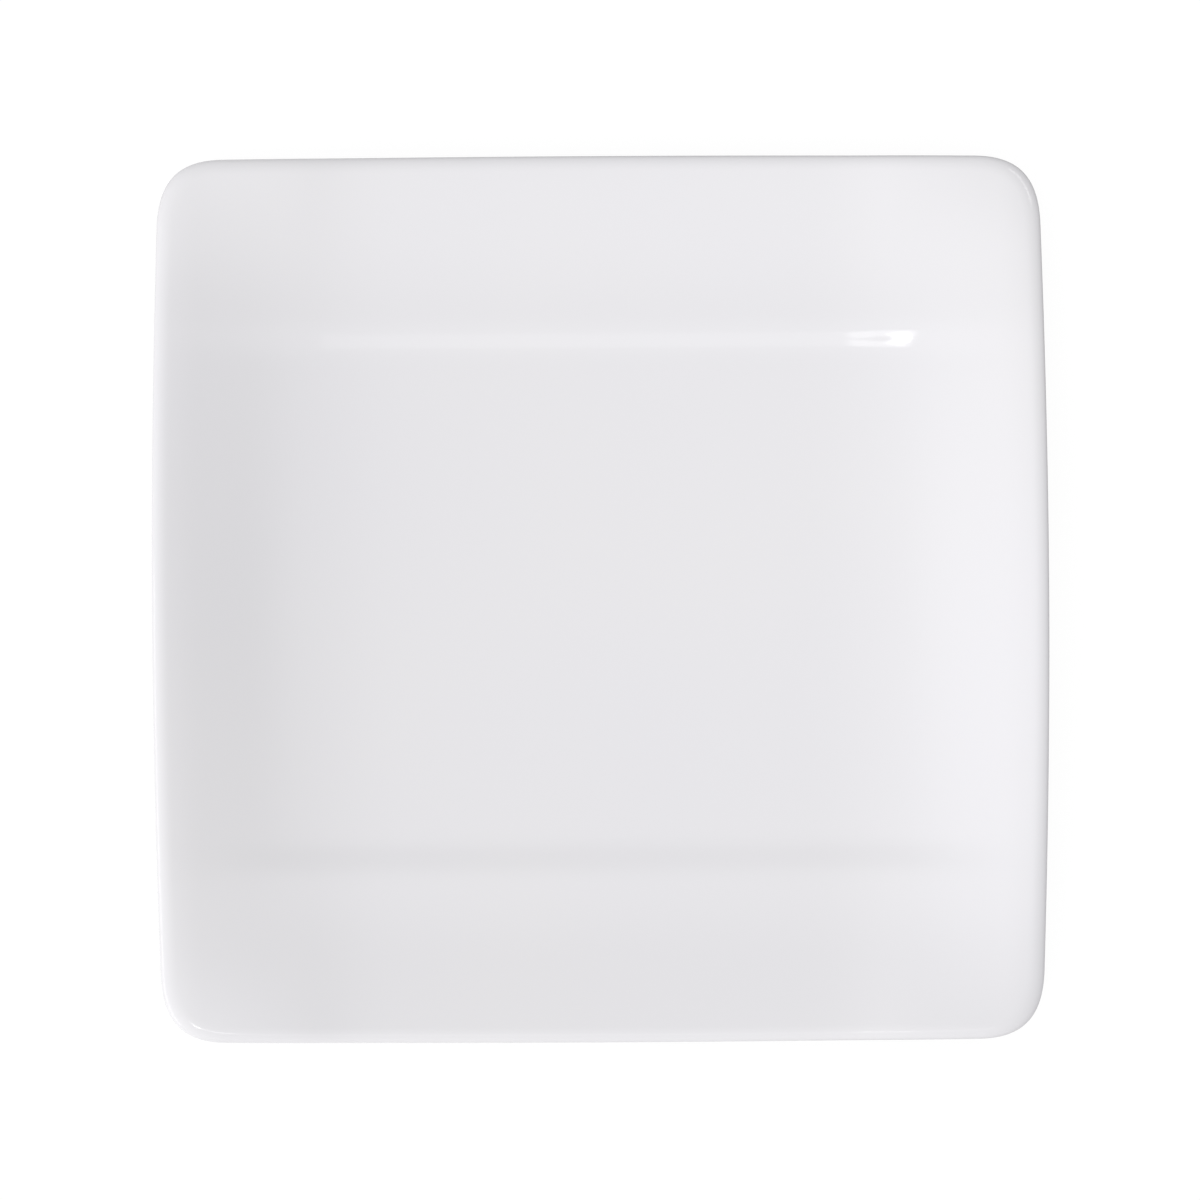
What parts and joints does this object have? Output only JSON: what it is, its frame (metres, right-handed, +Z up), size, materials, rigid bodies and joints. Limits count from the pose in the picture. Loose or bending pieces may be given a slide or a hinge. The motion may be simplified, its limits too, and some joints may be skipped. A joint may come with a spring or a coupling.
{
  "type": "salad plate",
  "caption": "Rounded-square white porcelain plate with a flat well, upswept left and right sides, low stepped near and far lands and a bare foot ring; serves a salad or starter.",
  "frame": {"origin": "on the table surface under the middle of the well", "axes": "+Z up out of the well, +X towards the upswept side at the right of the picture, +Y towards the far land at the top of the picture"},
  "size_m": [0.21, 0.2082, 0.0205],
  "materials": {
    "bare_porcelain": "fired and ground smooth, matt, bare on the foot's bearing edge",
    "white_glaze": "plain white gloss glaze"
  },
  "bodies": {
    "root": {"porcelain_body": "bare_porcelain", "face_glaze": "white_glaze", "base_glaze": "white_glaze"}
  },
  "joints": []
}
